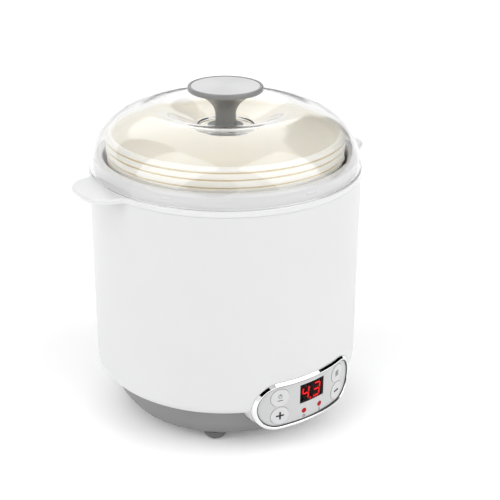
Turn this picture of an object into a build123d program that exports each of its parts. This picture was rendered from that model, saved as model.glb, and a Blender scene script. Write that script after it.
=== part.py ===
from build123d import *
from math import cos, pi, radians, tan
import os

# A round electric yogurt maker. Millimetres. Z is the axis of the round body, and Z = 0 is
# the surface that the feet stand on. The control panel faces -Y.

# Heights
FOOT_H = 7.5
BASE_TOP_Z = 34.2
SHELL_LOW_Z = 34.5
SHELL_TOP_Z = 187.8
RING_LOW_Z = 188.0
RING_TOP_Z = 192.2
COLLAR_TOP_Z = 202.0
WELL_TOP_Z = 183.8
WELL_FLOOR_Z = 80.8
JAR_LOW_Z = 81.2
JAR_RIM_Z = 217.0
NECK_GROOVE_ZS = (202.8, 208.2, 213.2)
LID_LOW_Z = 192.4
DISH_Z = 218.8
TOTAL_H = 250.0

# Radii
BODY_R = 100.0
BODY_LOW_R = 100.7
BASE_TOP_R = 91.9
BASE_LOW_R = 80.5
COLLAR_IN_R = 89.0
COLLAR_OUT_R = 96.0
WELL_R = 87.6
JAR_NECK_R = 86.8
JAR_BODY_R = 85.8
JAR_MOUTH_R = 81.6
LID_R = 99.5
KNOB_R = 27.3
STEM_R = 7.5
STEM_FOOT_R = 13.0

# Walls
SHELL_WALL = 2.6
BASE_WALL = 2.4
RING_WALL = 2.2
JAR_WALL = 2.8
LID_WALL = 2.2
WELL_WALL = 0.8

# Lid dome: a superellipse from the rim inwards, then a dished middle
DOME_RISE = 44.6
DOME_POWER_R = 4.07
DOME_POWER_Z = 1.877
DOME_CREST_R = 54.0
DOME_CREST_RISE = 42.7
DISH_R = 9.5
SEAL_T = 1.2
WASHER_T = 1.2
LUG_COUNT = 6
LUG_TURN = -2.4

# Carry tabs
TAB_TURN = -96.0
TAB_REACH_R = 119.0
TAB_HALF_W = 24.0
TAB_TIP_R = 19.0
TAB_ROOT_R = 6.5

# Snap hooks that hold the ring in the shell
HOOK_COUNT = 6
HOOK_W = 12.0

# Control panel, a stadium wrapped on the body's front
PANEL_Z = 39.5
PANEL_W = 94.6
PANEL_H = 38.6
BEZEL_BAND = 2.8
BEZEL_OUT_R = 102.6
BEZEL_BEVEL = 1.5
BEZEL_INNER_ROUND = 0.7
LEDGE_R = 98.9
LEDGE_W = 4.0
FACE_OUT_R = 101.2
POD_BACK_R = 82.0
BUTTON_R = 7.0
BUTTON_GAP = 0.25
BUTTON_OUT_R = 101.5
BUTTON_X = 27.9
BUTTON_HIGH_Z = 46.6
BUTTON_LOW_Z = 31.8
BUTTON_TRAVEL = 0.8
BUTTON_PLACES = {
    "button_start": (-BUTTON_X, BUTTON_HIGH_Z),
    "button_plus": (-BUTTON_X, BUTTON_LOW_Z),
    "button_menu": (BUTTON_X, BUTTON_HIGH_Z),
    "button_minus": (BUTTON_X, BUTTON_LOW_Z),
}
WINDOW_W = 22.8
WINDOW_H = 15.2
WINDOW_Z = 44.4
DIGIT_Y = -97.4
DIGIT_H = 10.4
DIGIT_W = 5.8
DIGIT_X = 5.3
DIGIT_T = 0.3
BAR_T = 1.25
BAR_GAP = 0.35
SLANT_DEG = 7.0
LAMP_R = 2.0
LAMP_X = 7.6
LAMP_Z = 30.0
BOSS_X = 16.6
BOSS_ZS = (29.5, 50.5)

# Boards
BOARD_Y = -84.5
BOARD_T = 1.6
BOARD_W = 72.0
BOARD_H = 25.0
SWITCH_SIZE = 6.0
SWITCH_H = 3.5
POWER_BOARD_Z = 16.0
POWER_BOARD_CORNERS = [(x, y) for x in (-29, 29) for y in (-5, 39)]

# Feet, posts and rear inlet
FOOT_R = 9.0
FOOT_CIRCLE_R = 70.0
FOOT_TURNS = (45, 135, 225, 315)
POST_R = 4.0
POST_CIRCLE_R = 76.0
POST_TURNS = (25, 155, 205, 335)
POST_LOW_Z = 39.8
POST_TOP_Z = 70.0
SCREW_R = 1.5
INLET_Z = 20.5
INLET_FACE_Y = 91.0
PLINTH_Y = 90.5
PIN_X = 4.3
PIN_R = 1.2

BOTTOM = (Align.CENTER, Align.CENTER, Align.MIN)


# A solid of revolution about Z from a closed outline of (radius, height) points.
# rounds maps a point's index to the radius that its corner is rounded to.
def turned(points, rounds={}):
    places = [(r, 0, z) for r, z in points]
    face = Face(Wire(Polyline(*places, close=True).edges()))
    for index, radius in rounds.items():
        corner = face.vertices().sort_by_distance(places[index])[0]
        face = face.fillet_2d(radius, [corner])
    return revolve(face, axis=Axis.Z)


# The same from a ring of joined edges that lie in the XZ plane.
def turned_edges(edges):
    return revolve(Face(Wire(edges)), axis=Axis.Z)


def tube(inner_r, outer_r, low_z, high_z):
    ring = Cylinder(outer_r, high_z - low_z, align=BOTTOM) - Cylinder(inner_r, high_z - low_z, align=BOTTOM)
    return Pos(0, 0, low_z) * ring


def disc(radius, low_z, high_z):
    return Pos(0, 0, low_z) * Cylinder(radius, high_z - low_z, align=BOTTOM)


def block(low, high):
    size = [b - a for a, b in zip(low, high)]
    return Pos(*low) * Box(*size, align=(Align.MIN, Align.MIN, Align.MIN))


def around(turn, radius, z=0.0):
    return Rot(0, 0, turn) * Pos(radius, 0, z)


# A rod along Y, from y = front to y = back.
def rod(radius, x, z, front, back):
    plane = Plane(origin=(x, front, z), z_dir=(0, 1, 0))
    return extrude(plane * Circle(radius), back - front)


# A stadium that runs through the panel along Y.
def stadium(width, height, back=-60.0):
    plane = Plane(origin=(0, back, PANEL_Z), x_dir=(1, 0, 0), z_dir=(0, -1, 0))
    return extrude(plane * SlotOverall(width, height), 120.0 + back + 20.0)


def panel_skin(inner_r, outer_r):
    return tube(inner_r, outer_r, 0, PANEL_Z * 2)


# ---- lid ----

def dome_edge(inset):
    rim_r = LID_R - inset
    rise = DOME_RISE - inset
    base_z = LID_LOW_Z
    places = [(rim_r, base_z)]
    for share in (0.995, 0.98, 0.95, 0.9, 0.83, 0.75, 0.65):
        height = rise * (1 - share ** DOME_POWER_R) ** (1 / DOME_POWER_Z)
        places.append((rim_r * share, base_z + height))
    crest_z = base_z + DOME_CREST_RISE - inset
    dish_z = DISH_Z - inset
    for share in (1.0, 0.75, 0.5, 0.25, 0.0):
        swell = (1 - cos(pi * share)) / 2
        places.append((DISH_R + share * (DOME_CREST_R - DISH_R), dish_z + swell * (crest_z - dish_z)))
    return Spline(*[(r, 0, z) for r, z in places], tangents=[(0, 0, 1), (-1, 0, 0)])


def dome_lid():
    hole_r = 2.8
    outer = dome_edge(0.0)
    inner = dome_edge(LID_WALL)
    edges = [
        outer,
        Line((DISH_R, 0, DISH_Z), (hole_r, 0, DISH_Z)),
        Line((hole_r, 0, DISH_Z), (hole_r, 0, DISH_Z - LID_WALL)),
        Line((hole_r, 0, DISH_Z - LID_WALL), (DISH_R, 0, DISH_Z - LID_WALL)),
        inner,
        Line((LID_R - LID_WALL, 0, LID_LOW_Z), (LID_R, 0, LID_LOW_Z)),
    ]
    dome = turned_edges(edges)
    lug = Pos(LID_R - LID_WALL - 0.1, 0, 198.0) * Box(1.4, 8.0, 2.6)
    for number in range(LUG_COUNT):
        dome += Rot(0, 0, LUG_TURN + number * 360 / LUG_COUNT - 90) * lug
    return dome


def lid_knob():
    foot_z = DISH_Z + SEAL_T
    stem_z = foot_z + 3.4
    flare_z = 228.5
    disc_low_z = 246.3
    recess_z = 248.8
    bore_top_z = 240.0
    foot = [(STEM_FOOT_R, 0, foot_z + 0.6), (9.4, 0, foot_z + 1.3), (STEM_R, 0, stem_z)]
    flare = [(STEM_R, 0, flare_z), (9.0, 0, 234.4), (13.4, 0, 239.6), (20.0, 0, 244.0), (26.4, 0, disc_low_z)]
    edges = [
        Line((SCREW_R, 0, foot_z), (STEM_FOOT_R, 0, foot_z)),
        Line((STEM_FOOT_R, 0, foot_z), foot[0]),
        Spline(*foot, tangents=[(-1, 0, 0.12), (0, 0, 1)]),
        Line(foot[-1], flare[0]),
        Spline(*flare, tangents=[(0, 0, 1), (1, 0, 0.3)]),
        ThreePointArc(flare[-1], (27.1, 0, 246.7), (KNOB_R, 0, 247.5)),
        Line((KNOB_R, 0, 247.5), (KNOB_R, 0, 249.0)),
        ThreePointArc((KNOB_R, 0, 249.0), (27.0, 0, 249.7), (26.3, 0, TOTAL_H)),
        Line((26.3, 0, TOTAL_H), (25.2, 0, TOTAL_H)),
        Line((25.2, 0, TOTAL_H), (25.2, 0, recess_z)),
        Line((25.2, 0, recess_z), (0, 0, recess_z)),
        Line((0, 0, recess_z), (0, 0, bore_top_z)),
        Line((0, 0, bore_top_z), (SCREW_R, 0, bore_top_z)),
        Line((SCREW_R, 0, bore_top_z), (SCREW_R, 0, foot_z)),
    ]
    return turned_edges(edges)


def knob_insert():
    points = [(0, 248.85), (25.1, 248.85), (25.1, 249.8), (0, 249.8)]
    return turned(points, {2: 0.4})


def knob_seal():
    return tube(SCREW_R + 0.5, STEM_R + 0.6, DISH_Z, DISH_Z + SEAL_T)


def knob_washer():
    return tube(SCREW_R + 0.5, 8.5, DISH_Z - LID_WALL - WASHER_T, DISH_Z - LID_WALL)


def knob_screw():
    head_top = DISH_Z - LID_WALL - WASHER_T
    head = turned([(0, head_top - 2.6), (4.4, head_top - 2.6), (4.4, head_top), (0, head_top)], {1: 1.6})
    slot = block((-0.5, -2.4, head_top - 3), (0.5, 2.4, head_top - 1.2))
    cross = Rot(0, 0, 90) * slot
    return head + disc(SCREW_R, head_top - 1, 239.5) - slot - cross


# ---- container ----

def inner_jar():
    neck_z = 198.0
    floor_z = JAR_LOW_Z + 3.0
    outside = [(0, JAR_LOW_Z), (JAR_BODY_R - 0.8, JAR_LOW_Z)]
    outside += [(JAR_BODY_R, neck_z), (JAR_NECK_R, neck_z + 1.5)]
    for low_z in NECK_GROOVE_ZS:
        outside += [(JAR_NECK_R, low_z), (JAR_NECK_R - 1.0, low_z + 0.3)]
        outside += [(JAR_NECK_R - 1.0, low_z + 1.0), (JAR_NECK_R, low_z + 1.3)]
    rim = [(JAR_NECK_R, JAR_RIM_Z), (JAR_MOUTH_R, JAR_RIM_Z), (JAR_MOUTH_R, JAR_RIM_Z - 3.6)]
    inside = [(JAR_BODY_R - JAR_WALL, JAR_RIM_Z - 6.0), (JAR_BODY_R - JAR_WALL - 0.8, floor_z), (0, floor_z)]
    rim_at = len(outside)
    rounds = {1: 10.0, rim_at: 1.2, rim_at + 1: 1.2, rim_at + 4: 8.0}
    return turned(outside + rim + inside, rounds)


# ---- housing ----

def outer_shell():
    low_r = BODY_LOW_R - 8.3
    wall = [
        Line((low_r - 2.4, 0, SHELL_LOW_Z), (low_r, 0, SHELL_LOW_Z)),
        ThreePointArc((low_r, 0, SHELL_LOW_Z), (low_r + 5.9, 0, 37.0), (BODY_LOW_R, 0, 43.0)),
        Line((BODY_LOW_R, 0, 43.0), (BODY_R, 0, SHELL_TOP_Z)),
        Line((BODY_R, 0, SHELL_TOP_Z), (BODY_R - SHELL_WALL, 0, SHELL_TOP_Z)),
        Line((BODY_R - SHELL_WALL, 0, SHELL_TOP_Z), (BODY_LOW_R - SHELL_WALL, 0, 43.8)),
        ThreePointArc((BODY_LOW_R - SHELL_WALL, 0, 43.8), (low_r + 4.0, 0, 38.8), (low_r, 0, 37.1)),
        Line((low_r, 0, 37.1), (low_r - 2.4, 0, 37.1)),
        Line((low_r - 2.4, 0, 37.1), (low_r - 2.4, 0, SHELL_LOW_Z)),
    ]
    shell = turned_edges(wall)
    shell += stadium(PANEL_W, PANEL_H) & panel_skin(POD_BACK_R, LEDGE_R)
    for turn in POST_TURNS:
        post = around(turn, POST_CIRCLE_R, POST_LOW_Z) * Cylinder(
            POST_R, POST_TOP_Z - POST_LOW_Z, align=BOTTOM)
        web = Rot(0, 0, turn) * block((POST_CIRCLE_R, -1, 45), (98.6, 1, POST_TOP_Z))
        shell += post + web
    for turn in POST_TURNS:
        shell -= around(turn, POST_CIRCLE_R, POST_LOW_Z) * Cylinder(SCREW_R, 16, align=BOTTOM)
    shell += turned([(95.8, 177.4), (98.2, 176.0), (98.2, 179.0), (95.8, 179.0)])
    shell -= stadium(PANEL_W + 0.2, PANEL_H + 0.2) & panel_skin(LEDGE_R, BODY_R + 6)
    shell -= stadium(PANEL_W - 2 * LEDGE_W, PANEL_H - 2 * LEDGE_W)
    return shell


def top_ring():
    points = [
        (COLLAR_IN_R, WELL_TOP_Z + 0.2),
        (COLLAR_IN_R, COLLAR_TOP_Z),
        (COLLAR_OUT_R, COLLAR_TOP_Z),
        (COLLAR_OUT_R, RING_TOP_Z),
        (BODY_R + 0.1, RING_TOP_Z),
        (BODY_R + 0.1, RING_LOW_Z),
        (COLLAR_OUT_R - RING_WALL, RING_LOW_Z),
        (COLLAR_OUT_R - RING_WALL, COLLAR_TOP_Z - RING_WALL),
        (COLLAR_IN_R + RING_WALL, COLLAR_TOP_Z - RING_WALL),
        (COLLAR_IN_R + RING_WALL, WELL_TOP_Z + 0.2),
    ]
    ring = turned(points, {1: 2.0, 2: 2.0, 3: 0.6, 4: 0.7})
    for turn in (TAB_TURN, TAB_TURN + 180):
        ring += Rot(0, 0, turn - 90) * carry_tab()
    hook = block((94.2, -HOOK_W / 2, 173.6), (95.6, HOOK_W / 2, RING_LOW_Z))
    tooth = Polyline((95.6, 176.8), (97.0, 175.0), (95.6, 173.6), close=True)
    hook += extrude(Plane.XZ.offset(-HOOK_W / 2) * make_face(tooth), HOOK_W)
    for number in range(HOOK_COUNT):
        ring += Rot(0, 0, number * 360 / HOOK_COUNT) * hook
    return ring


# One tab, along +X, with hollow root corners where it leaves the ring.
def carry_tab():
    side = [(92.5, 39.0), (97.6, 26.0), (TAB_REACH_R, TAB_HALF_W)]
    outline = side + [(x, -y) for x, y in reversed(side)]
    sketch = Face(Wire(Polyline(*outline, close=True).edges()))
    for index, radius in ((1, TAB_ROOT_R), (2, TAB_TIP_R), (3, TAB_TIP_R), (4, TAB_ROOT_R)):
        corner = sketch.vertices().sort_by_distance((*outline[index], 0))[0]
        sketch = sketch.fillet_2d(radius, [corner])
    plate = extrude(Pos(0, 0, RING_LOW_Z) * sketch, RING_TOP_Z - RING_LOW_Z - 0.2, dir=(0, 0, 1))
    rims = [e for e in plate.edges() if e.center().X > 93 and abs(e.tangent_at(0.5).Z) < 0.1]
    return fillet(rims, 1.5) - disc(COLLAR_OUT_R - 1, 0, TOTAL_H)


def inner_well():
    outer_r = WELL_R + WELL_WALL
    points = [
        (0, WELL_FLOOR_Z - WELL_WALL),
        (outer_r - 0.6, WELL_FLOOR_Z - WELL_WALL),
        (outer_r, WELL_TOP_Z - WELL_WALL),
        (93.0, WELL_TOP_Z - WELL_WALL),
        (93.0, WELL_TOP_Z),
        (WELL_R, WELL_TOP_Z),
        (WELL_R - 0.6, WELL_FLOOR_Z),
        (0, WELL_FLOOR_Z),
    ]
    return turned(points, {1: 11.0, 6: 10.2})


def heating_band():
    band = tube(WELL_R + WELL_WALL + 0.1, WELL_R + WELL_WALL + 1.1, 96.0, 136.0)
    gap = Rot(0, 0, 30) * block((80, -5, 90), (100, 5, 140))
    terminal = Rot(0, 0, 45) * block((WELL_R + WELL_WALL + 0.6, -7, 96.0), (92.4, 7, 106.0))
    return band - gap + terminal


def temperature_sensor():
    head = Pos(26, 0, 72.4) * Cylinder(3.4, WELL_FLOOR_Z - WELL_WALL - 72.4, align=BOTTOM)
    flange = block((16, -5, 74.0), (36, 5, 75.2))
    return head + flange


def thermal_fuse():
    low_z = 75.6
    body = Pos(-26, 0, low_z + 2.1) * Rot(90, 0, 0) * Cylinder(2.1, 12)
    clip = block((-28.6, -3, low_z + 3.6), (-23.4, 3, WELL_FLOOR_Z - WELL_WALL))
    return body + clip


def base_cover():
    inner_r = BASE_TOP_R - BASE_WALL
    floor_z = FOOT_H + BASE_WALL
    lip_r = 89.6
    edges = [
        Line((0, 0, FOOT_H), (77.0, 0, FOOT_H)),
        ThreePointArc((77.0, 0, FOOT_H), (79.2, 0, 8.2), (BASE_LOW_R, 0, 10.0)),
        ThreePointArc((BASE_LOW_R, 0, 10.0), (87.4, 0, 20.9), (BASE_TOP_R, 0, BASE_TOP_Z)),
        Line((BASE_TOP_R, 0, BASE_TOP_Z), (lip_r, 0, BASE_TOP_Z)),
        Line((lip_r, 0, BASE_TOP_Z), (lip_r, 0, 39.4)),
        Line((lip_r, 0, 39.4), (inner_r - 1.8, 0, 39.4)),
        Line((inner_r - 1.8, 0, 39.4), (inner_r - 1.8, 0, 30.0)),
        ThreePointArc((inner_r - 1.8, 0, 30.0), (84.2, 0, 19.8), (BASE_LOW_R - 2.2, 0, 11.6)),
        Line((BASE_LOW_R - 2.2, 0, 11.6), (76.4, 0, floor_z)),
        Line((76.4, 0, floor_z), (0, 0, floor_z)),
        Line((0, 0, floor_z), (0, 0, FOOT_H)),
    ]
    cover = turned_edges(edges)
    for turn in POST_TURNS:
        post = Cylinder(POST_R, POST_LOW_Z - FOOT_H - 1, align=BOTTOM)
        cover += around(turn, POST_CIRCLE_R, FOOT_H + 1) * post
    for x, y in POWER_BOARD_CORNERS:
        cover += Pos(x, y, floor_z) * Cylinder(2.6, POWER_BOARD_Z - floor_z, align=BOTTOM)
        cover -= Pos(x, y, floor_z) * Cylinder(0.9, POWER_BOARD_Z - floor_z, align=BOTTOM)
    cover += block((-17, 70, 9.6), (17, PLINTH_Y, 31.2)) - block((-20, 60, 0), (20, 76, 60))
    cover += block((-17, 74, 9.6), (17, 82, 31.2)) - block((-14.6, 60, 11.0), (14.6, 90, 30.0))
    cover -= block((-13.1, 60, INLET_Z - 7.1), (13.1, 100, INLET_Z + 7.1))
    for turn in FOOT_TURNS:
        cover -= around(turn, FOOT_CIRCLE_R) * Cylinder(3.0, 30)
    for turn in POST_TURNS:
        cover -= around(turn, POST_CIRCLE_R) * Cylinder(SCREW_R + 0.2, 100)
        cover -= around(turn, POST_CIRCLE_R) * Cylinder(3.2, 12, align=BOTTOM)
    for number in range(10):
        cover -= Rot(0, 0, number * 36 + 18) * Pos(40, 0, FOOT_H) * Box(22, 2.6, 10)
    cover -= stadium(PANEL_W + 0.6, PANEL_H + 0.6)
    return cover


def rubber_feet():
    crown_r = 5.0
    edges = [
        Line((0, 0, 0), (crown_r, 0, 0)),
        ThreePointArc((crown_r, 0, 0), (7.9, 0, 2.2), (FOOT_R, 0, FOOT_H)),
        Line((FOOT_R, 0, FOOT_H), (2.9, 0, FOOT_H)),
        Line((2.9, 0, FOOT_H), (2.9, 0, 10.4)),
        Line((2.9, 0, 10.4), (3.6, 0, 10.4)),
        Line((3.6, 0, 10.4), (2.4, 0, 13.5)),
        Line((2.4, 0, 13.5), (0, 0, 13.5)),
        Line((0, 0, 13.5), (0, 0, 0)),
    ]
    foot = turned_edges(edges)
    return [around(turn, FOOT_CIRCLE_R) * foot for turn in FOOT_TURNS]


def base_screws():
    head = turned([(0, 9.6), (2.9, 9.6), (2.9, 12.0), (0, 12.0)], {1: 0.9})
    screw = head + disc(SCREW_R - 0.05, 11.0, 54.0)
    screw -= block((-0.4, -2, 9), (0.4, 2, 10.8))
    return [around(turn, POST_CIRCLE_R) * screw for turn in POST_TURNS]


# ---- control panel ----

# The bezel's front edges: its outer loop or its inner one.
def bezel_loop(ring, outer):
    half = (PANEL_W - PANEL_H) / 2
    loop = []
    for edge in ring.edges():
        spots = [edge @ share for share in (0.1, 0.5, 0.9)]
        if all(abs(Vector(p.X, p.Y).length - BEZEL_OUT_R) < 0.02 for p in spots):
            reach = Vector(max(abs(spots[1].X) - half, 0), spots[1].Z - PANEL_Z).length
            if (reach > (PANEL_H - BEZEL_BAND) / 2) == outer:
                loop.append(edge)
    return loop


# A frame with a broad bevel outside, which catches the light, and a small round inside.
def panel_bezel():
    ring = stadium(PANEL_W, PANEL_H) - stadium(PANEL_W - 2 * BEZEL_BAND, PANEL_H - 2 * BEZEL_BAND)
    ring &= panel_skin(LEDGE_R + 0.05, BEZEL_OUT_R)
    ring = fillet(bezel_loop(ring, False), BEZEL_INNER_ROUND)
    return chamfer(bezel_loop(ring, True), BEZEL_BEVEL)


def face_plate():
    gap = 0.15
    plate = stadium(PANEL_W - 2 * BEZEL_BAND - gap, PANEL_H - 2 * BEZEL_BAND - gap)
    plate &= panel_skin(LEDGE_R + 0.05, FACE_OUT_R)
    for x in (-BOSS_X, BOSS_X):
        for z in BOSS_ZS:
            plate += rod(2.4, x, z, -98.2, BOARD_Y) & tube(0, FACE_OUT_R - 0.6, 0, 80)
    for x in (-BOSS_X, BOSS_X):
        for z in BOSS_ZS:
            plate -= rod(0.9, x, z, BOARD_Y - 6, BOARD_Y)
    for x, z in BUTTON_PLACES.values():
        plate -= rod(BUTTON_R + BUTTON_GAP, x, z, -110, -80)
    plate -= block((-WINDOW_W / 2 - 0.1, -110, WINDOW_Z - WINDOW_H / 2 - 0.1),
                   (WINDOW_W / 2 + 0.1, -80, WINDOW_Z + WINDOW_H / 2 + 0.1))
    for x in (-LAMP_X, LAMP_X):
        plate -= rod(LAMP_R + 0.05, x, LAMP_Z, -110, -80)
    return plate


def display_window():
    pane = block((-WINDOW_W / 2, -110, WINDOW_Z - WINDOW_H / 2), (WINDOW_W / 2, -80, WINDOW_Z + WINDOW_H / 2))
    uprights = pane.edges().filter_by(Axis.Y)
    return fillet(uprights, 0.8) & panel_skin(99.4, FACE_OUT_R - 0.1)


def display_module():
    return block((-12.4, DIGIT_Y, 34.4), (12.4, BOARD_Y, 54.2))


# One figure's seven bars, each a flat six-sided bar on the module's front.
def figure_bars(x, z):
    half = DIGIT_H / 2
    side = DIGIT_W / 2
    slots = [(0, half, 0), (0, 0, 0), (0, -half, 0)]
    slots += [(dx, dz, 90) for dx in (-side, side) for dz in (-half / 2, half / 2)]
    bars = []
    for dx, dz, turn in slots:
        length = (half if turn else DIGIT_W) - BAR_GAP
        point = length / 2
        flank = point - BAR_T / 2
        upper = [(-point, 0), (-flank, BAR_T / 2), (flank, BAR_T / 2), (point, 0)]
        rim = upper + [(flank, -BAR_T / 2), (-flank, -BAR_T / 2)]
        shift = dz * tan(radians(SLANT_DEG))
        front = Plane(origin=(x + dx + shift, DIGIT_Y - 0.05, z + dz), x_dir=(1, 0, 0), z_dir=(0, -1, 0))
        lean = turn - SLANT_DEG if turn else 0
        bars.append(extrude(front * Rot(0, 0, lean) * make_face(Polyline(*rim, close=True)), DIGIT_T))
    return bars


def display_digits():
    bars = figure_bars(-DIGIT_X, WINDOW_Z) + figure_bars(DIGIT_X, WINDOW_Z)
    front = DIGIT_Y - 0.05
    bars.append(rod(0.75, -0.6, WINDOW_Z - DIGIT_H / 2 - 0.2, front - DIGIT_T, front))
    return bars


def indicator_leds():
    lamps = []
    for x in (-LAMP_X, LAMP_X):
        lens = rod(LAMP_R, x, LAMP_Z, -110, BOARD_Y) & tube(0, FACE_OUT_R + 0.15, 0, 80)
        lamps.append(lens)
    return lamps


# A round cap that slides along Y in the face plate, with two ears behind the plate.
def button(x, z):
    cap_back = -90.3
    cap = rod(BUTTON_R, x, z, -110, cap_back) & tube(0, BUTTON_OUT_R, 0, 80)
    ears = block((x - 8.2, -91.3, z - 2), (x + 8.2, cap_back, z + 2))
    stem = rod(2.5, x, z, -90.6, BOARD_Y - SWITCH_H - BUTTON_TRAVEL - 0.3)
    return cap + ears + stem


def control_board():
    low = (-BOARD_W / 2, BOARD_Y, PANEL_Z - BOARD_H / 2)
    board = block(low, (BOARD_W / 2, BOARD_Y + BOARD_T, PANEL_Z + BOARD_H / 2))
    for x in (-BOSS_X, BOSS_X):
        for z in BOSS_ZS:
            board -= rod(1.1, x, z, BOARD_Y - 1, BOARD_Y + 4)
    chip = block((-6, BOARD_Y + BOARD_T, 34), (6, BOARD_Y + BOARD_T + 2, 46))
    return board + chip


def tact_switches():
    half = SWITCH_SIZE / 2
    switches = []
    for x, z in BUTTON_PLACES.values():
        switches.append(block((x - half, BOARD_Y - SWITCH_H, z - half), (x + half, BOARD_Y, z + half)))
    return switches


def power_board():
    board = block((-32, -8, POWER_BOARD_Z), (32, 42, POWER_BOARD_Z + 1.6))
    for x, y in POWER_BOARD_CORNERS:
        board -= Pos(x, y, POWER_BOARD_Z) * Cylinder(1.2, 10)
    relay = block((-28, 12, POWER_BOARD_Z + 1.6), (-9, 28, POWER_BOARD_Z + 17))
    can = Pos(20, -0.5, POWER_BOARD_Z + 1.6) * Cylinder(5, 14, align=BOTTOM)
    return board + relay + can


def transformer():
    top = POWER_BOARD_Z + 1.6
    core = block((-4, 10, top), (26, 34, top + 20))
    coil = block((0, 6, top + 3), (22, 38, top + 17))
    return core + coil


# Small screws of one size: four in the control board, four in the power board.
def board_screws():
    panel_screw = rod(1.9, 0, 0, 0, 1.4) + rod(0.85, 0, 0, -5.5, 0.2)
    screws = []
    for x in (-BOSS_X, BOSS_X):
        for z in BOSS_ZS:
            screws.append(Pos(x, BOARD_Y + BOARD_T, z) * panel_screw)
    upright = disc(1.9, 0, 1.4) + disc(0.85, -5.5, 0.2)
    for x, y in POWER_BOARD_CORNERS:
        screws.append(Pos(x, y, POWER_BOARD_Z + 1.6) * upright)
    return screws


def power_inlet():
    body = block((-13, 76.0, INLET_Z - 7), (13, INLET_FACE_Y, INLET_Z + 7))
    plane = Plane(origin=(0, INLET_FACE_Y, INLET_Z), x_dir=(-1, 0, 0), z_dir=(0, 1, 0))
    cavity = extrude(plane * SlotOverall(15.6, 8.4), -12.5)
    body = body - cavity
    for x in (-PIN_X, PIN_X):
        body -= rod(PIN_R, x, INLET_Z, 70, 80)
    return body


def inlet_pins():
    return [rod(PIN_R, x, INLET_Z, 71.5, 89.0) for x in (-PIN_X, PIN_X)]


# Insulated wires inside: straight runs joined by arcs.
def wire(places, bend):
    path = FilletPolyline(*places, radius=bend)
    start = Plane(origin=path @ 0, z_dir=path % 0)
    return sweep(start * Circle(1.1), path)


def wire_loom():
    board_top = POWER_BOARD_Z + 1.7
    heater = wire([(-26, 4, board_top), (-26, 4, 58), (64.5, 64.5, 58), (64.5, 64.5, 95.9)], 12)
    panel = wire([(8, 0, board_top), (8, 0, 30), (8, -82.8, 30)], 8)
    mains = []
    for x in (-PIN_X, PIN_X):
        mains.append(wire([(x, 71.4, INLET_Z), (x, 56, INLET_Z), (x, 40.0, board_top + 1.4)], 8))
    return [heater, panel] + mains


pieces = {
    "dome_lid": dome_lid(),
    "lid_knob": lid_knob(),
    "knob_insert": knob_insert(),
    "knob_seal": knob_seal(),
    "knob_washer": knob_washer(),
    "knob_screw": knob_screw(),
    "inner_jar": inner_jar(),
    "outer_shell": outer_shell(),
    "top_ring": top_ring(),
    "inner_well": inner_well(),
    "heating_band": heating_band(),
    "temperature_sensor": temperature_sensor(),
    "thermal_fuse": thermal_fuse(),
    "base_cover": base_cover(),
    "rubber_feet": rubber_feet(),
    "base_screws": base_screws(),
    "panel_bezel": panel_bezel(),
    "face_plate": face_plate(),
    "display_window": display_window(),
    "display_module": display_module(),
    "display_digits": display_digits(),
    "indicator_leds": indicator_leds(),
    "control_board": control_board(),
    "tact_switches": tact_switches(),
    "board_screws": board_screws(),
    "power_board": power_board(),
    "transformer": transformer(),
    "power_inlet": power_inlet(),
    "inlet_pins": inlet_pins(),
    "wire_loom": wire_loom(),
}
for name, (x, z) in BUTTON_PLACES.items():
    pieces[name] = button(x, z)

os.makedirs("parts", exist_ok=True)
for name, shape in pieces.items():
    if isinstance(shape, list):
        solids = [s for piece in shape for s in piece.solids()]
        shape = Compound(children=solids)
    export_step(shape, f"parts/{name}.step")
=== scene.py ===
import math

import bpy
from mathutils import Matrix, Vector


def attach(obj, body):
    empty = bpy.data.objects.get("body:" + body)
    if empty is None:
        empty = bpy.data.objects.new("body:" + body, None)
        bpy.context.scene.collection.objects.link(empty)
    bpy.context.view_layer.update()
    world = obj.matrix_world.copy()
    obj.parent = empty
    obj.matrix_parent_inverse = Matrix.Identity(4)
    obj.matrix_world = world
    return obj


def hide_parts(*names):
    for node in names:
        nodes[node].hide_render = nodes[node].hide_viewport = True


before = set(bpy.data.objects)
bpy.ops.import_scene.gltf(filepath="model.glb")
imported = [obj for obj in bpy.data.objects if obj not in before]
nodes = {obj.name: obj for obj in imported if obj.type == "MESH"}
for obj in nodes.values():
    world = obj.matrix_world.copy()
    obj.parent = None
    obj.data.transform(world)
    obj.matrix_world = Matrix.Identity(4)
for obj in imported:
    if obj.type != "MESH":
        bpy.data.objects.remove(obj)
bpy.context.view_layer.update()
mm = 0.001
tiny = 1e-6  # metres, for telling which side of the middle a vertex lies
mixA, mixB, mixOut = 6, 7, 2  # a colour Mix node's own socket numbers
print("frame loaded:", len(nodes), "nodes")


def linearColour(hexText):
    # sRGB hex to the linear colour that shaders work in
    channels = [int(hexText[i:i + 2], 16) / 255 for i in (0, 2, 4)]
    return [c / 12.92 if c <= 0.04045 else ((c + 0.055) / 1.055) ** 2.4 for c in channels] + [1.0]


def addNode(tree, kind, sockets=None, links=None, **settings):
    made = tree.nodes.new(kind)
    for name, value in settings.items():
        setattr(made, name, value)
    for name, value in (sockets or {}).items():
        made.inputs[name].default_value = value
    for name, source in (links or {}).items():
        tree.links.new(source, made.inputs[name])
    return made


def startMaterial(name, **sockets):
    # a new material with one Principled shader, whose constants sit on its own sockets
    material = bpy.data.materials.new(name)
    material.use_nodes = True
    tree = material.node_tree
    tree.nodes.clear()
    shader = addNode(tree, "ShaderNodeBsdfPrincipled", sockets)
    addNode(tree, "ShaderNodeOutputMaterial", links={"Surface": shader.outputs["BSDF"]})
    return material, tree, shader


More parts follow.
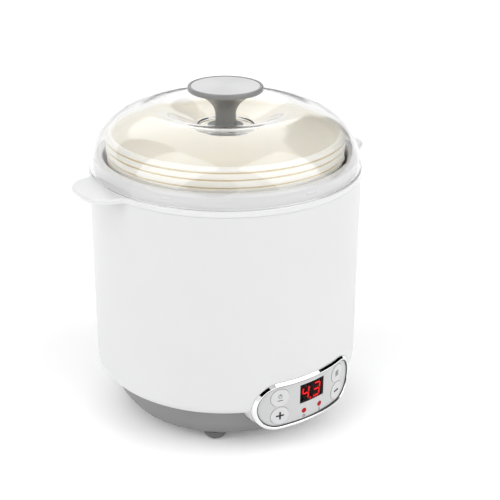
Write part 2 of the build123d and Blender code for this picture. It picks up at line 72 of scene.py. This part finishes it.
def mottle(tree, shader, darkHex, lightHex, patchMm, rough):
    # slow drift of colour and gloss, as moulded plastic has where it cooled unevenly
    place = addNode(tree, "ShaderNodeTexCoord")
    patches = addNode(tree, "ShaderNodeTexNoise", {"Scale": 1 / (patchMm * mm), "Detail": 3.0},
                      {"Vector": place.outputs["Object"]})
    colours = addNode(tree, "ShaderNodeMix", {mixA: linearColour(darkHex), mixB: linearColour(lightHex)},
                      {0: patches.outputs["Fac"]}, data_type="RGBA")
    tree.links.new(colours.outputs[mixOut], shader.inputs["Base Color"])
    gloss = addNode(tree, "ShaderNodeMapRange", {"To Min": rough[0], "To Max": rough[1]},
                    {"Value": patches.outputs["Fac"]})
    tree.links.new(gloss.outputs["Result"], shader.inputs["Roughness"])
    return place


def grain(tree, shader, place, sizeMm, depthMm, strength=1.0):
    # fine bump of a real grain size
    pits = addNode(tree, "ShaderNodeTexNoise", {"Scale": 1 / (sizeMm * mm), "Detail": 2.0},
                   {"Vector": place.outputs["Object"]})
    bump = addNode(tree, "ShaderNodeBump", {"Strength": strength, "Distance": depthMm * mm},
                   {"Height": pits.outputs["Fac"]})
    tree.links.new(bump.outputs["Normal"], shader.inputs["Normal"])


def whiteAbs():
    # injection moulded ABS from a polished tool: white, satin gloss, faint orange peel
    material, tree, shader = startMaterial("white moulded ABS", **{
        "IOR": 1.54, "Coat Weight": 0.25, "Coat Roughness": 0.12})
    place = mottle(tree, shader, "d5d5d6", "d9d9da", patchMm=60, rough=(0.30, 0.36))
    grain(tree, shader, place, sizeMm=1.8, depthMm=0.006)
    return material


def whiteRingAbs():
    # the ring is a glossier moulding of the same white ABS
    material, tree, shader = startMaterial("white gloss ABS", **{
        "IOR": 1.54, "Coat Weight": 0.4, "Coat Roughness": 0.08})
    place = mottle(tree, shader, "d9d9da", "dedede", patchMm=50, rough=(0.22, 0.28))
    grain(tree, shader, place, sizeMm=1.8, depthMm=0.004)
    return material


def greyAbs():
    # mid grey ABS, fine spark-eroded texture on the base: a soft, even sheen
    material, tree, shader = startMaterial("grey textured ABS", **{"IOR": 1.54})
    place = mottle(tree, shader, "7b7b7b", "838383", patchMm=40, rough=(0.42, 0.5))
    grain(tree, shader, place, sizeMm=0.6, depthMm=0.02, strength=0.6)
    return material


def knobPlastic():
    # mid grey ABS with a satin face: a soft light edge along the disc and the stem
    material, tree, shader = startMaterial("grey satin knob ABS", **{
        "IOR": 1.54, "Coat Weight": 0.15, "Coat Roughness": 0.2})
    place = mottle(tree, shader, "7a7a7a", "838383", patchMm=18, rough=(0.3, 0.38))
    grain(tree, shader, place, sizeMm=0.7, depthMm=0.008, strength=0.5)
    return material


brushing = {
    "darkHex": "c4c4c5",
    "lightHex": "d8d8d8",
    "perMetre": (60, 4000, 60),  # lines run along X and lie 0.25 mm apart
    "rough": (0.24, 0.38),
    "depthMm": 0.01,
}


def brushedInsert(b):
    # stainless disc with a fine straight brushing, which pulls its highlight across the lines
    material, tree, shader = startMaterial("brushed stainless steel", **{"Metallic": 1.0, "Anisotropic": 0.5})
    place = addNode(tree, "ShaderNodeTexCoord")
    stretch = addNode(tree, "ShaderNodeMapping", {"Scale": b["perMetre"]},
                      {"Vector": place.outputs["Object"]})
    lines = addNode(tree, "ShaderNodeTexNoise", {"Scale": 1.0, "Detail": 4.0},
                    {"Vector": stretch.outputs["Vector"]})
    tone = addNode(tree, "ShaderNodeMix",
                   {mixA: linearColour(b["darkHex"]), mixB: linearColour(b["lightHex"])},
                   {0: lines.outputs["Fac"]}, data_type="RGBA")
    tree.links.new(tone.outputs[mixOut], shader.inputs["Base Color"])
    rough = addNode(tree, "ShaderNodeMapRange", {"To Min": b["rough"][0], "To Max": b["rough"][1]},
                    {"Value": lines.outputs["Fac"]})
    tree.links.new(rough.outputs["Result"], shader.inputs["Roughness"])
    bump = addNode(tree, "ShaderNodeBump", {"Strength": 0.25, "Distance": b["depthMm"] * mm},
                   {"Height": lines.outputs["Fac"]})
    tree.links.new(bump.outputs["Normal"], shader.inputs["Normal"])
    return material


dome = {"tintHex": "fcfcfc", "shadowHex": "f8f8f8", "rippleMm": 35, "rippleDepthMm": 0.1}


def clearPlastic(d):
    # clear SAN, a glassy styrene resin with a faint moulding ripple; lamps shine through it
    material, tree, shader = startMaterial("clear moulded SAN", **{
        "Base Color": linearColour(d["tintHex"]), "Roughness": 0.02, "IOR": 1.5, "Transmission Weight": 1.0})
    place = addNode(tree, "ShaderNodeTexCoord")
    ripple = addNode(tree, "ShaderNodeTexNoise", {"Scale": 1 / (d["rippleMm"] * mm), "Detail": 1.0},
                     {"Vector": place.outputs["Object"]})
    bump = addNode(tree, "ShaderNodeBump", {"Strength": 0.15, "Distance": d["rippleDepthMm"] * mm},
                   {"Height": ripple.outputs["Fac"]})
    tree.links.new(bump.outputs["Normal"], shader.inputs["Normal"])
    # a renderer's shortcut: light on its way to and from what the dome covers goes straight
    # through, a little dimmed, instead of being bent, which would leave the inside dark and noisy
    rays = addNode(tree, "ShaderNodeLightPath")
    through = addNode(tree, "ShaderNodeBsdfTransparent", {"Color": linearColour(d["shadowHex"])})
    passing = addNode(tree, "ShaderNodeMath", operation="MAXIMUM",
                      links={0: rays.outputs["Is Shadow Ray"], 1: rays.outputs["Is Diffuse Ray"]})
    shade = addNode(tree, "ShaderNodeMixShader", links={
        0: passing.outputs[0], 1: shader.outputs["BSDF"], 2: through.outputs["BSDF"]})
    output = next(n for n in tree.nodes if n.type == "OUTPUT_MATERIAL")
    tree.links.new(shade.outputs["Shader"], output.inputs["Surface"])
    return material


jar = {
    "grooveR": 85.8, "grooveReach": 0.45,  # millimetres, the bottoms of the neck's three grooves
    "grooveZ": 208, "grooveZReach": 7.5,
    # painted shade for the bottoms of the three grooves
    "grooveShadeHex": "e6d9b2",
    # painted shade: the outside below the neck is coloured darker
    "skinTopZ": 197, "skinR": 84.4, "skinShadeHex": "e2dccb",  # the outside, below the neck: a guess
    "insideR": (84.6, 84.2), "insideGlow": 0.095, "insideHex": "fbf7ee",  # a fill, set by trial
}


def creamPolypropylene(j):
    # natural polypropylene: cream, waxy, light soaks in a few millimetres
    material, tree, shader = startMaterial("natural polypropylene", **{
        "IOR": 1.49, "Subsurface Weight": 0.35, "Subsurface Scale": 0.004,
        "Subsurface Radius": (1.0, 0.85, 0.6), "Emission Color": linearColour(j["insideHex"])})
    place = mottle(tree, shader, "f8f4ea", "fcf9f2", patchMm=30, rough=(0.32, 0.4))
    grain(tree, shader, place, sizeMm=1.5, depthMm=0.01, strength=0.6)
    split = addNode(tree, "ShaderNodeSeparateXYZ", links={"Vector": place.outputs["Object"]})
    flat = addNode(tree, "ShaderNodeCombineXYZ", links={"X": split.outputs["X"], "Y": split.outputs["Y"]})
    radius = addNode(tree, "ShaderNodeVectorMath", links={0: flat.outputs["Vector"]}, operation="LENGTH")
    height, outFromAxis = split.outputs["Z"], radius.outputs["Value"]
    paintedShadeZones = [
        # painted shade: the bottoms of the neck's grooves are tinted warmer and darker
        (("COMPARE", outFromAxis, j["grooveR"], j["grooveReach"]),
         ("COMPARE", height, j["grooveZ"], j["grooveZReach"]), j["grooveShadeHex"]),
        # painted shade: below the neck the outside is darker, only so that it reads against a white floor
        # when lifted
        (("LESS_THAN", height, j["skinTopZ"]), ("GREATER_THAN", outFromAxis, j["skinR"]), j["skinShadeHex"]),
    ]
    for *tests, hexText in paintedShadeZones:
        held = [addNode(tree, "ShaderNodeMath", {i + 1: limit * mm for i, limit in enumerate(limits)},
                        {0: source}, operation=operation) for operation, source, *limits in tests]
        both = addNode(tree, "ShaderNodeMath", links={0: held[0].outputs[0], 1: held[1].outputs[0]},
                       operation="MULTIPLY")
        colourSoFar = shader.inputs["Base Color"].links[0].from_socket
        tinted = addNode(tree, "ShaderNodeMix", {mixB: linearColour(hexText)},
                         {0: both.outputs[0], mixA: colourSoFar}, data_type="RGBA")
        tree.links.new(tinted.outputs[mixOut], shader.inputs["Base Color"])
    # a weak glow on everything inside skinR stands in for light that the renderer loses under the
    # dome; the real plastic does not glow, so in other light the inside will look a little self-lit
    inside = addNode(tree, "ShaderNodeMapRange", {
        "From Min": j["insideR"][0] * mm, "From Max": j["insideR"][1] * mm, "To Max": j["insideGlow"]},
        {"Value": outFromAxis})
    tree.links.new(inside.outputs["Result"], shader.inputs["Emission Strength"])
    return material


def chromePlate():
    # chrome-plated ABS: mirror bright with a very slight change of gloss over some millimetres
    material, tree, shader = startMaterial("chrome plated ABS", **{
        "Metallic": 1.0, "Base Color": linearColour("ececec")})
    place = addNode(tree, "ShaderNodeTexCoord")
    wave = addNode(tree, "ShaderNodeTexNoise", {"Scale": 1 / (6 * mm), "Detail": 1.0},
                   {"Vector": place.outputs["Object"]})
    gloss = addNode(tree, "ShaderNodeMapRange", {"To Min": 0.03, "To Max": 0.07},
                    {"Value": wave.outputs["Fac"]})
    tree.links.new(gloss.outputs["Result"], shader.inputs["Roughness"])
    return material


def silverPaint(name, darkHex, lightHex):
    # silver lacquer on ABS: very small metal flakes under a satin top coat
    material, tree, shader = startMaterial(name, **{
        "Metallic": 0.25, "IOR": 1.5, "Coat Weight": 0.2, "Coat Roughness": 0.15})
    place = mottle(tree, shader, darkHex, lightHex, patchMm=0.5, rough=(0.34, 0.42))
    grain(tree, shader, place, sizeMm=0.4, depthMm=0.004, strength=0.4)
    return material


def smokedWindow():
    # smoked acrylic: dark and glossy, the lit figures show through; its real IOR is 1.49, set low
    # here to keep its face from mirroring the pale room over them
    return startMaterial("smoked acrylic", **{
        "Base Color": linearColour("9a9092"), "Roughness": 0.03, "IOR": 1.12, "Transmission Weight": 1.0})[0]


def plainPlastic(name, darkHex, lightHex, rough):
    # small moulded and printed parts: one even colour with a fine grain
    material, tree, shader = startMaterial(name, **{"IOR": 1.5})
    place = mottle(tree, shader, darkHex, lightHex, patchMm=8, rough=(rough, rough + 0.08))
    grain(tree, shader, place, sizeMm=0.5, depthMm=0.01, strength=0.5)
    return material


def plainMetal(name, darkHex, lightHex, rough):
    # pressed, drawn and plated parts: a dull metal shine that drifts over a few millimetres
    material, tree, shader = startMaterial(name, **{"Metallic": 1.0})
    place = mottle(tree, shader, darkHex, lightHex, patchMm=6, rough=(rough, rough + 0.1))
    grain(tree, shader, place, sizeMm=0.6, depthMm=0.004, strength=0.5)
    return material


def glowing(name, hexText, strength, sheen=0.5):
    # coloured lamp resin lit from behind: its own colour, with some room light on its face, which
    # sheen holds back where it would wash the colour out
    return startMaterial(name, **{
        "Base Color": linearColour(hexText), "Roughness": 0.3, "Emission Color": linearColour(hexText),
        "Emission Strength": strength, "Specular IOR Level": sheen})[0]


materials = {
    "outer_shell": whiteAbs(),
    "top_ring": whiteRingAbs(),
    "base_cover": greyAbs(),
    "lid_knob": knobPlastic(),
    "knob_insert": brushedInsert(brushing),
    "dome_lid": clearPlastic(dome),
    "inner_jar": creamPolypropylene(jar),
    "panel_bezel": chromePlate(),
    "face_plate": silverPaint("silver lacquered ABS", "bfc0c0", "c9c9ca"),
    "display_window": smokedWindow(),
    "display_digits": glowing("lit red segments", "ff2222", 3.0),
    "rubber_feet": plainPlastic("grey rubber", "5c5c5c", "686868", 0.6),
    "indicator_leds": glowing("lit red lamp", "a00c14", 0.1, 0.1),
    "inner_well": plainMetal("drawn aluminium", "b9babb", "c6c7c8", 0.3),
    "heating_band": plainMetal("aluminium foil heater", "b0b0b0", "c0c0c0", 0.35),
    "display_module": plainPlastic("black display body", "060606", "0a0a0a", 0.5),
    "tact_switches": plainPlastic("black switch plastic", "101010", "1a1a1a", 0.5),
    "control_board": plainPlastic("green solder mask", "14502c", "1a6034", 0.35),
    "power_board": plainPlastic("green solder mask", "14502c", "1a6034", 0.35),
    "transformer": plainPlastic("yellow winding tape", "b89a2c", "c8aa38", 0.45),
    "power_inlet": plainPlastic("black nylon", "121212", "1c1c1c", 0.4),
    "inlet_pins": plainMetal("nickel plated brass", "c8bf9c", "d6ceb0", 0.25),
    "wire_loom": plainPlastic("white wire insulation", "d8d8d4", "e4e4e0", 0.45),
    "knob_seal": plainPlastic("clear silicone", "c9c9c6", "d4d4d2", 0.5),
    "temperature_sensor": plainMetal("plated steel", "9c9c9c", "acacac", 0.3),
    "thermal_fuse": plainPlastic("ceramic fuse body", "d8d5c8", "e4e1d6", 0.5),
}
steel = plainMetal("zinc plated steel", "9fa1a3", "b0b2b4", 0.3)
for name in ("knob_washer", "knob_screw", "base_screws", "board_screws"):
    materials[name] = steel
buttonSilver = silverPaint("silver lacquered button", "cacacb", "d3d3d4")
for name in ("button_start", "button_menu", "button_plus", "button_minus"):
    materials[name] = buttonSilver

for name, piece in nodes.items():
    piece.data.materials.clear()
    piece.data.materials.append(materials[name])
print("materials on", len(materials), "nodes")

panel = {
    "centreZ": 39.5,
    "faceR": 101.2,  # outside of the silver plate
    "buttonR": 101.5,
    "printMm": 0.12,  # thickness of the marks, so that they stand clear of the curved face
    "proudMm": 0.05,
    "buttonX": 27.9,
    "buttonZ": (46.6, 31.8),
    "lampX": 7.6,
    "labelZ": 25.6,
}


def cleanSlate():
    # object mode with nothing selected, so that the next tool works on its own piece
    if bpy.context.object and bpy.context.object.mode != "OBJECT":
        bpy.ops.object.mode_set(mode="OBJECT")
    bpy.ops.object.select_all(action="DESELECT")


def pickVertices(piece, wanted):
    # select vertices by their place, in edit mode afterwards
    bpy.ops.object.mode_set(mode="OBJECT")
    for vertex in piece.data.vertices:
        vertex.select = bool(wanted(vertex.co))
    for edge in piece.data.edges:
        edge.select = all(piece.data.vertices[i].select for i in edge.vertices)
    for face in piece.data.polygons:
        face.select = all(piece.data.vertices[i].select for i in face.vertices)
    bpy.ops.object.mode_set(mode="EDIT")


def placeMesh(piece, shift, leanDeg=0.0):
    # lean in the panel's plane, then move; the object itself stays at the origin
    lean = Matrix.Rotation(math.radians(leanDeg), 4, "Y")
    piece.data.transform(Matrix.Translation(Vector(shift) * mm) @ lean)


def flatBar(length, height, pointed=False):
    # a bar lying along X, facing -Y, its thickness the print's; a pointed one starts as a hexagon
    cleanSlate()
    corners, radius = (6, height / math.sqrt(3)) if pointed else (20, height / 2)
    bpy.ops.mesh.primitive_cylinder_add(vertices=corners, radius=radius * mm, depth=panel["printMm"] * mm,
                                        rotation=(math.pi / 2, 0, math.pi))
    bar = bpy.context.object
    bpy.ops.object.transform_apply(location=True, rotation=True, scale=True)
    reach = (length / 2 - radius) * mm
    if pointed:
        turnToPoint(bar)
    for side in (-1, 1):
        pickVertices(bar, lambda co: co.x * side > tiny)
        bpy.ops.transform.translate(value=(side * reach, 0, 0))
    bpy.ops.object.mode_set(mode="OBJECT")
    return bar


def turnToPoint(bar):
    # the hexagon's corners come to the bar's two ends
    if max(v.co.x for v in bar.data.vertices) < max(v.co.z for v in bar.data.vertices):
        bar.data.transform(Matrix.Rotation(math.radians(30), 4, "Y"))


def flatRing(radius, line):
    # a thin flat ring, facing -Y: a disc, inset by the line's width, its middle taken out
    cleanSlate()
    bpy.ops.mesh.primitive_circle_add(vertices=32, radius=radius * mm, fill_type="NGON",
                                      rotation=(math.pi / 2, 0, 0))
    ring = bpy.context.object
    bpy.ops.object.transform_apply(location=True, rotation=True, scale=True)
    bpy.ops.object.mode_set(mode="EDIT")
    bpy.ops.mesh.select_all(action="SELECT")
    bpy.ops.mesh.inset(thickness=line * mm)
    bpy.ops.mesh.delete(type="FACE")
    bpy.ops.mesh.select_all(action="SELECT")
    bpy.ops.mesh.extrude_region_move(TRANSFORM_OT_translate={"value": (0, panel["printMm"] * mm, 0)})
    bpy.ops.mesh.select_all(action="SELECT")
    bpy.ops.mesh.normals_make_consistent(inside=False)
    bpy.ops.object.mode_set(mode="OBJECT")
    return ring


def joinPieces(parts, name):
    cleanSlate()
    for part in parts:
        part.select_set(True)
    bpy.context.view_layer.objects.active = parts[0]
    if len(parts) > 1:
        bpy.ops.object.join()
    whole = bpy.context.object
    whole.name = name
    whole.data.name = name
    return whole


def wrapOnPanel(piece, radius):
    # lay a flat print on the panel's cylinder
    for vertex in piece.data.vertices:
        vertex.co.y -= math.sqrt((radius * mm) ** 2 - vertex.co.x ** 2)


def finishPrint(parts, name, radius, body, material):
    piece = joinPieces(parts, name)
    wrapOnPanel(piece, radius + panel["proudMm"])
    piece.data.materials.clear()
    piece.data.materials.append(material)
    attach(piece, body)


blackInk = plainPlastic("black pad print", "0d0d0d", "161616", 0.5)
greyInk = plainPlastic("dark grey pad print", "484848", "565656", 0.5)


marks = {  # sizes in millimetres, each pair a length or radius and a line width
    "plus": (6.4, 1.3),
    "minus": (6.0, 1.4),
    "startRing": (1.5, 0.4),
    "startStroke": (1.7, 0.45),
    "startStrokeUp": 1.2,
    "startRise": 1.2,
    "ruleDown": 3.4,
    "rule": (4.2, 0.6),  # also a line of the menu's list
    "listRows": 4,
    "listTop": 1.8,
    "listStep": 1.2,
}


def buttonMarks(m):
    x, (highZ, lowZ) = panel["buttonX"], panel["buttonZ"]
    across, upright = flatBar(*m["plus"]), flatBar(*m["plus"])
    placeMesh(upright, (0, 0, 0), 90)
    for bar in (across, upright):
        placeMesh(bar, (-x, 0, lowZ))
    finishPrint([across, upright], "markPlus", panel["buttonR"], "button_plus", blackInk)
    minus = flatBar(*m["minus"])
    placeMesh(minus, (x, 0, lowZ))
    finishPrint([minus], "markMinus", panel["buttonR"], "button_minus", blackInk)
    # start: a round symbol with a bar at its top, over a short rule
    ring, stroke, rule = flatRing(*m["startRing"]), flatBar(*m["startStroke"]), flatBar(*m["rule"])
    placeMesh(stroke, (0, 0, m["startStrokeUp"]), 90)
    placeMesh(rule, (0, 0, -m["ruleDown"]))
    for part in (ring, stroke, rule):
        placeMesh(part, (-x, 0, highZ + m["startRise"]))
    finishPrint([ring, stroke, rule], "markStart", panel["buttonR"], "button_start", greyInk)
    # menu: a list of short lines
    lines = []
    for row in range(m["listRows"]):
        line = flatBar(*m["rule"])
        placeMesh(line, (x, 0, highZ + m["listTop"] - m["listStep"] * row))
        lines.append(line)
    finishPrint(lines, "markMenu", panel["buttonR"], "button_menu", greyInk)


labels = {
    "dial": (1.15, 0.32),
    "hand": (1.0, 0.3),
    "handUp": 0.35,
    "shortHand": (0.8, 0.3),
    "shortHandAside": 0.25,
    "bulb": (0.62, 0.5),
    "bulbDown": 0.75,
    "stem": (2.4, 0.55),
    "stemUp": 0.5,
}


def lampMarks(t):
    # a clock under the left lamp and a thermometer under the right one
    x, z = panel["lampX"], panel["labelZ"]
    dial, hand, shortHand = flatRing(*t["dial"]), flatBar(*t["hand"]), flatBar(*t["shortHand"])
    placeMesh(hand, (0, 0, t["handUp"]), 90)
    placeMesh(shortHand, (t["shortHandAside"], 0, 0))
    for part in (dial, hand, shortHand):
        placeMesh(part, (-x, 0, z))
    bulb, stem = flatRing(*t["bulb"]), flatBar(*t["stem"])
    placeMesh(stem, (0, 0, t["stemUp"]), 90)
    placeMesh(bulb, (0, 0, -t["bulbDown"]))
    for part in (bulb, stem):
        placeMesh(part, (x, 0, z))
    finishPrint([dial, hand, shortHand, bulb, stem], "lampMarks", panel["faceR"], "housing", greyInk)


figures = {
    "frontY": -98.85,  # close behind the window
    "centresX": (-4.8, 5.8),
    "centreZ": 42.6,
    "height": 10.2,
    "width": 5.6,
    "barMm": 1.2,
    "gapMm": 0.65,
    "leanDeg": 7.0,
    "lit": ("bcfg", "abcdg"),  # a four and a three
    "point": (-0.2, 37.4),
    "pointMm": 1.5,
}


def litFigures(f):
    # seven-bar figures, the bars lettered as is usual, clockwise from the top with g in the middle
    half, side = f["height"] / 2, f["width"] / 2
    places = {"a": (0, half, 0), "g": (0, 0, 0), "d": (0, -half, 0), "f": (-side, half / 2, 90),
              "b": (side, half / 2, 90), "e": (-side, -half / 2, 90), "c": (side, -half / 2, 90)}
    slant = math.tan(math.radians(f["leanDeg"]))
    bars = []
    for centreX, letters in zip(f["centresX"], f["lit"]):
        for letter in letters:
            x, z, turn = places[letter]
            bar = flatBar((half if turn else f["width"]) - f["gapMm"], f["barMm"], pointed=True)
            placeMesh(bar, (0, 0, 0), turn + (f["leanDeg"] if turn else 0))
            placeMesh(bar, (centreX + x + z * slant, f["frontY"], f["centreZ"] + z))
            bars.append(bar)
    point = flatBar(f["pointMm"], f["pointMm"])
    placeMesh(point, (f["point"][0], f["frontY"], f["point"][1]))
    piece = joinPieces(bars + [point], "litFigures")
    piece.data.materials.clear()
    piece.data.materials.append(materials["display_digits"])
    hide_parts("display_digits")
    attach(piece, "housing")


# painted shade: a thin black ring that stands in for the shadow in the gap around the silver plate
seal = {
    "straight": 28.0,  # half the length between the two round ends
    "outerR": 16.72,
    "line": 0.68,
    "deep": 1.2,
    "radius": 101.75,
    "cuts": 30,  # along each straight, so that it follows the panel's curve
}


def panelGapShade(s):
    # painted shade: a thin black ring in the seam between the silver plate and the chrome frame, in place of
    # the shadow in the gap
    cleanSlate()
    bpy.ops.mesh.primitive_circle_add(vertices=96, radius=s["outerR"] * mm, fill_type="NGON",
                                      rotation=(math.pi / 2, 0, 0))
    ring = bpy.context.object
    bpy.ops.object.transform_apply(location=True, rotation=True, scale=True)
    for side in (-1, 1):
        pickVertices(ring, lambda co: co.x * side > tiny)
        bpy.ops.transform.translate(value=(side * s["straight"] * mm, 0, 0))
    pickVertices(ring, lambda co: abs(co.x) < tiny)
    bpy.ops.mesh.dissolve_verts()
    bpy.ops.mesh.select_all(action="SELECT")
    bpy.ops.mesh.inset(thickness=s["line"] * mm)
    bpy.ops.mesh.delete(type="FACE")
    bpy.ops.object.mode_set(mode="OBJECT")
    longEdge = s["straight"] * mm
    for edge in ring.data.edges:
        a, b = (ring.data.vertices[i].co for i in edge.vertices)
        edge.select = (a - b).length > longEdge
    for vertex in ring.data.vertices:
        vertex.select = False
    bpy.ops.object.mode_set(mode="EDIT")
    bpy.ops.mesh.select_mode(type="EDGE")
    bpy.ops.mesh.subdivide(number_cuts=s["cuts"])
    bpy.ops.mesh.select_all(action="SELECT")
    bpy.ops.mesh.extrude_region_move(TRANSFORM_OT_translate={"value": (0, s["deep"] * mm, 0)})
    bpy.ops.mesh.select_all(action="SELECT")
    bpy.ops.mesh.normals_make_consistent(inside=False)
    bpy.ops.mesh.select_mode(type="VERT")
    bpy.ops.object.mode_set(mode="OBJECT")
    placeMesh(ring, (0, 0, panel["centreZ"]))
    # painted shade: black, for the shadow in the gap
    rubber = plainPlastic("black painted gap shade", "1c1c1c", "262626", 0.6)
    finishPrint([ring], "panelGapShade", s["radius"], "housing", rubber)


buttonMarks(marks)
lampMarks(labels)
litFigures(figures)
panelGapShade(seal)
print("panel marks, figures and seal made")

studio = {
    "floorSize": 60.0,
    "floorGlow": 0.12,  # lifts the floor to an even white
    "sky": 0.97,
    "overhead": 0.4,
    "overheadFrom": (0.6, 0.95),  # how steeply up the sky begins and ends its change
    "aimZ": 0.188,
    "edgeDeg": 2.5,  # how soft a card's edge is
    # cards seen in the gloss: turn, rise and half width in degrees, then a level
    # the bright one is behind, the last dark one is by the camera
    "cards": [(88.0, 22.0, 33.0, 0.0), (-146.0, 42.0, 22.0, 0.0), (146.0, 62.0, 36.0, 1.9),
              (-50.0, 28.0, 18.0, 0.0)],
    # two tall soft boxes, well apart and far enough off to light the floor evenly
    "boxes": [
        {"turn": -99.0, "rise": 46.0, "away": 6.0, "size": (4.8, 6.5), "watts": 160.0},
        {"turn": 27.0, "rise": 43.0, "away": 6.0, "size": (4.8, 6.5), "watts": 160.0},
    ],
}


def outward(turn, rise, away):
    # a point seen from the origin: turn 0 is in front of the panel, rise is above the level
    a, e = math.radians(turn), math.radians(rise)
    return Vector((math.sin(a) * math.cos(e), -math.cos(a) * math.cos(e), math.sin(e))) * away


def buildStudio(s):
    bpy.ops.object.select_all(action="DESELECT")
    bpy.ops.mesh.primitive_plane_add(size=s["floorSize"])
    floor = bpy.context.object
    floor.name = "floor"
    material, tree, shader = startMaterial("pale floor", **{
        "Specular IOR Level": 0.2, "Emission Color": (1, 1, 1, 1), "Emission Strength": s["floorGlow"]})
    mottle(tree, shader, "fbfbfb", "fdfdfd", patchMm=400, rough=(0.7, 0.75))
    floor.data.materials.append(material)
    target = Vector((0, 0, s["aimZ"]))
    for number, box in enumerate(s["boxes"]):
        lamp = bpy.data.lights.new("softBox%d" % number, "AREA")
        lamp.shape = "RECTANGLE"
        lamp.size, lamp.size_y = box["size"]
        lamp.energy = box["watts"]
        holder = bpy.data.objects.new(lamp.name, lamp)
        bpy.context.collection.objects.link(holder)
        holder.location = target + outward(box["turn"], box["rise"], box["away"])
        holder.rotation_euler = (target - holder.location).to_track_quat("-Z", "Y").to_euler()
    world = bpy.data.worlds.new("studio")
    bpy.context.scene.world = world
    world.use_nodes = True
    tree = world.node_tree
    tree.nodes.clear()
    direction = addNode(tree, "ShaderNodeTexCoord")
    split = addNode(tree, "ShaderNodeSeparateXYZ", links={"Vector": direction.outputs["Generated"]})
    level = addNode(tree, "ShaderNodeMapRange", {
        "From Min": s["overheadFrom"][0], "From Max": s["overheadFrom"][1],
        "To Min": s["sky"], "To Max": s["overhead"]}, {"Value": split.outputs["Z"]})
    glow = level.outputs["Result"]
    for turn, rise, halfWidth, cardLevel in s["cards"]:
        facing = addNode(tree, "ShaderNodeVectorMath", {1: outward(turn, rise, 1.0)},
                         {0: direction.outputs["Generated"]}, operation="DOT_PRODUCT")
        inside = math.cos(math.radians(halfWidth))
        outside = math.cos(math.radians(halfWidth + s["edgeDeg"]))
        card = addNode(tree, "ShaderNodeMapRange", {
            "From Min": outside, "From Max": inside, "To Min": 1.0, "To Max": cardLevel},
            {"Value": facing.outputs["Value"]})
        shaded = addNode(tree, "ShaderNodeMath", links={0: glow, 1: card.outputs["Result"]},
                         operation="MULTIPLY")
        glow = shaded.outputs[0]
    sky = addNode(tree, "ShaderNodeBackground", {"Color": (1, 1, 1, 1)}, {"Strength": glow})
    addNode(tree, "ShaderNodeOutputWorld", links={"Surface": sky.outputs["Background"]})
    bpy.context.scene.view_settings.view_transform = "Standard"


view = {  # the camera's place in metres, its turns in degrees and its lens in millimetres
    "turn": -38.4, "away": 0.7454, "height": 0.4524,
    "yaw": 1.42, "pitch": 23.985, "roll": 0.476,
    "lens": 76.72, "sensor": 36.0,
}


def buildCamera(view):
    lens = bpy.data.cameras.new("camera")
    lens.lens = view["lens"]
    lens.sensor_width = view["sensor"]
    camera = bpy.data.objects.new("camera", lens)
    bpy.context.collection.objects.link(camera)
    place = outward(view["turn"], 0.0, view["away"]) + Vector((0, 0, view["height"]))
    facing = Matrix.Rotation(math.radians(view["turn"] - view["yaw"]), 4, "Z")
    tilt = Matrix.Rotation(math.radians(90 - view["pitch"]), 4, "X")
    bank = Matrix.Rotation(math.radians(view["roll"]), 4, "Z")
    camera.matrix_world = Matrix.Translation(place) @ facing @ tilt @ bank
    bpy.context.scene.camera = camera


buildStudio(studio)
buildCamera(view)
print("studio ready")
